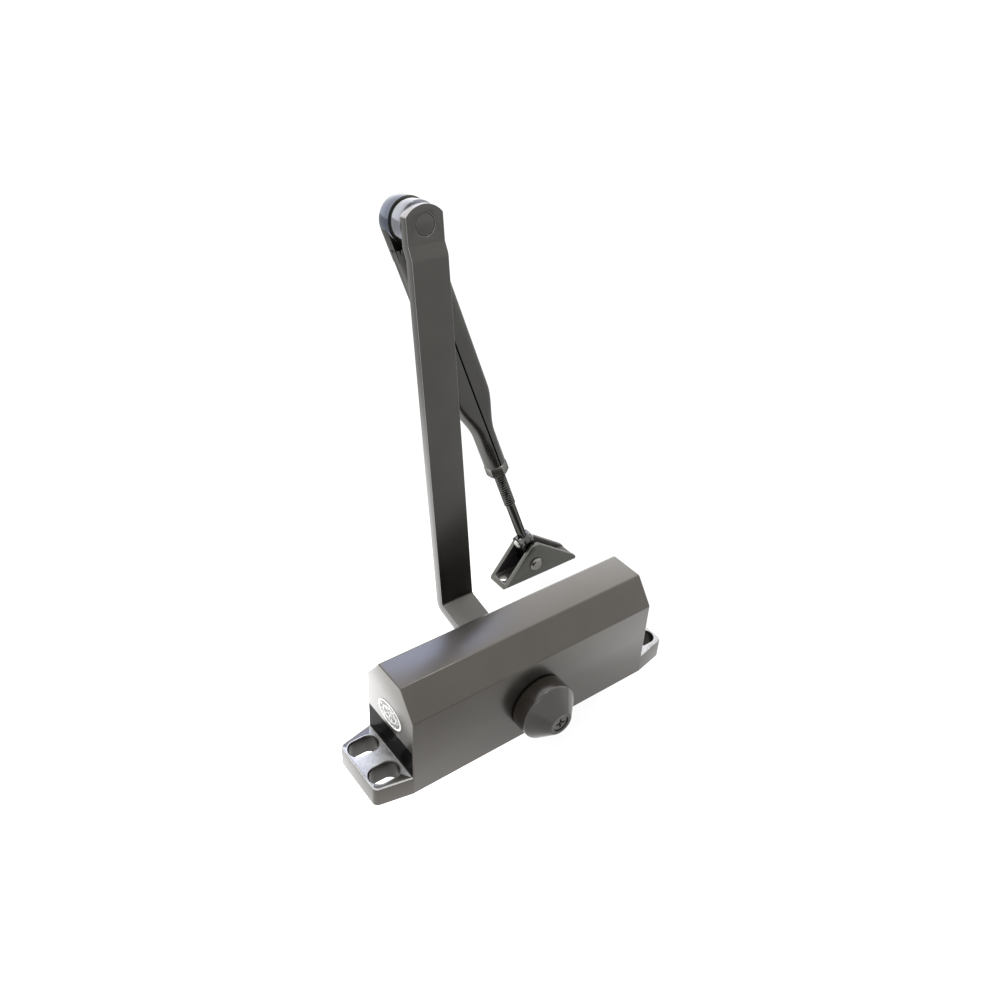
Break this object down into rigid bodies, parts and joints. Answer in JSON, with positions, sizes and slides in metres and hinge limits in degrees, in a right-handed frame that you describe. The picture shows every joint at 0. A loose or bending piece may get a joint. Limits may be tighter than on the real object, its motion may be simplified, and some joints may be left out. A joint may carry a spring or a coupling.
{
  "type": "door closer",
  "caption": "Overhead rack-and-pinion door closer: cast body on slotted feet, cranked main arm, adjustable forearm with lock nut, swivel and shoe, spindle cap.",
  "frame": {"origin": "centre of the four fixing slots on the mounting face", "axes": "+X along the body towards the valve end, +Y along the spindle towards the arm, +Z out of the face the closer is screwed to"},
  "size_m": [0.1881, 0.1453, 0.2386],
  "materials": {
    "body_paint": "satin dark bronze-grey paint over a fine cast grain",
    "arm_paint": "satin dark grey paint",
    "dark_steel": "dark steel with a soft sheen",
    "bright_steel": "bright turned steel",
    "zinc": "zinc-plated steel",
    "cap_plastic": "satin dark brown-grey plastic",
    "rubber": "black nitrile rubber",
    "brass": "turned brass",
    "aluminium": "turned aluminium",
    "spring_steel": "blued spring steel",
    "label_film": "plain pale film"
  },
  "bodies": {
    "housing": {"body_casting": "body_paint", "end_plug": "aluminium", "plug_seal": "rubber", "front_bearing": "bright_steel", "rear_bearing": "bright_steel", "front_gland": "zinc", "rear_gland": "zinc", "front_seal": "rubber", "rear_seal": "rubber", "return_spring": "spring_steel", "end_label": "label_film"},
    "closing_valve_body": {"closing_valve": "brass", "closing_valve_seal": "rubber"},
    "latching_valve_body": {"latching_valve": "brass", "latching_valve_seal": "rubber"},
    "piston": {"rack_piston": "bright_steel", "check_ball": "bright_steel", "ball_retainer": "brass"},
    "spindle_and_arm": {"pinion_spindle": "bright_steel", "spindle_cap": "cap_plastic", "cap_screw": "zinc", "main_arm": "arm_paint", "arm_washer": "zinc", "arm_screw": "zinc", "elbow_rivet": "arm_paint", "elbow_spacer": "bright_steel"},
    "forearm_tube": {"forearm": "dark_steel", "lock_nut": "dark_steel"},
    "rod": {"adjusting_rod": "dark_steel"},
    "swivel": {"swivel_clevis": "zinc", "swivel_rivet": "zinc"},
    "shoe": {"shoe_bracket": "dark_steel", "shoe_rivet": "dark_steel"}
  },
  "joints": [
    {"name": "spindle_turn", "type": "hinge", "parent": "housing", "child": "spindle_and_arm", "pos_m": [0, 0, 0.0195], "axis": [0, -1, 0], "range_deg": [0, 150], "stiffness_Nm_per_rad": 5, "springref_deg": -40.11},
    {"name": "piston_slide", "type": "slide", "parent": "housing", "child": "piston", "axis": [1, 0, 0], "range_m": [-0.0189, 0], "deforming": ["return_spring"]},
    {"name": "elbow_turn", "type": "hinge", "parent": "spindle_and_arm", "child": "forearm_tube", "pos_m": [0, 0.08258, 0.2285], "axis": [0, -0.988, 0.1547], "range_deg": [-15, 150]},
    {"name": "rod_adjust", "type": "slide", "parent": "forearm_tube", "child": "rod", "axis": [0.3032, -0.1474, -0.9415], "range_m": [-0.012, 0.012]},
    {"name": "rod_tilt", "type": "hinge", "parent": "rod", "child": "swivel", "pos_m": [0.0611, 0.07145, 0.03589], "axis": [0.9519, 0, 0.3066], "range_deg": [-11, 28]},
    {"name": "shoe_pivot", "type": "hinge", "parent": "swivel", "child": "shoe", "pos_m": [0.066, 0.07145, 0.02066], "axis": [0, 1, 0], "range_deg": [-50, 40]},
    {"name": "closing_valve_turn", "type": "hinge", "parent": "housing", "child": "closing_valve_body", "pos_m": [0.07, -0.0055, 0.0544], "axis": [1, 0, 0], "range_deg": [-180, 180]},
    {"name": "latching_valve_turn", "type": "hinge", "parent": "housing", "child": "latching_valve_body", "pos_m": [0.07, 0.0055, 0.0544], "axis": [1, 0, 0], "range_deg": [-180, 180]}
  ],
  "couplings": [
    {"joint": "piston_slide", "follows": "spindle_turn", "m_per_rad": -0.0072}
  ]
}
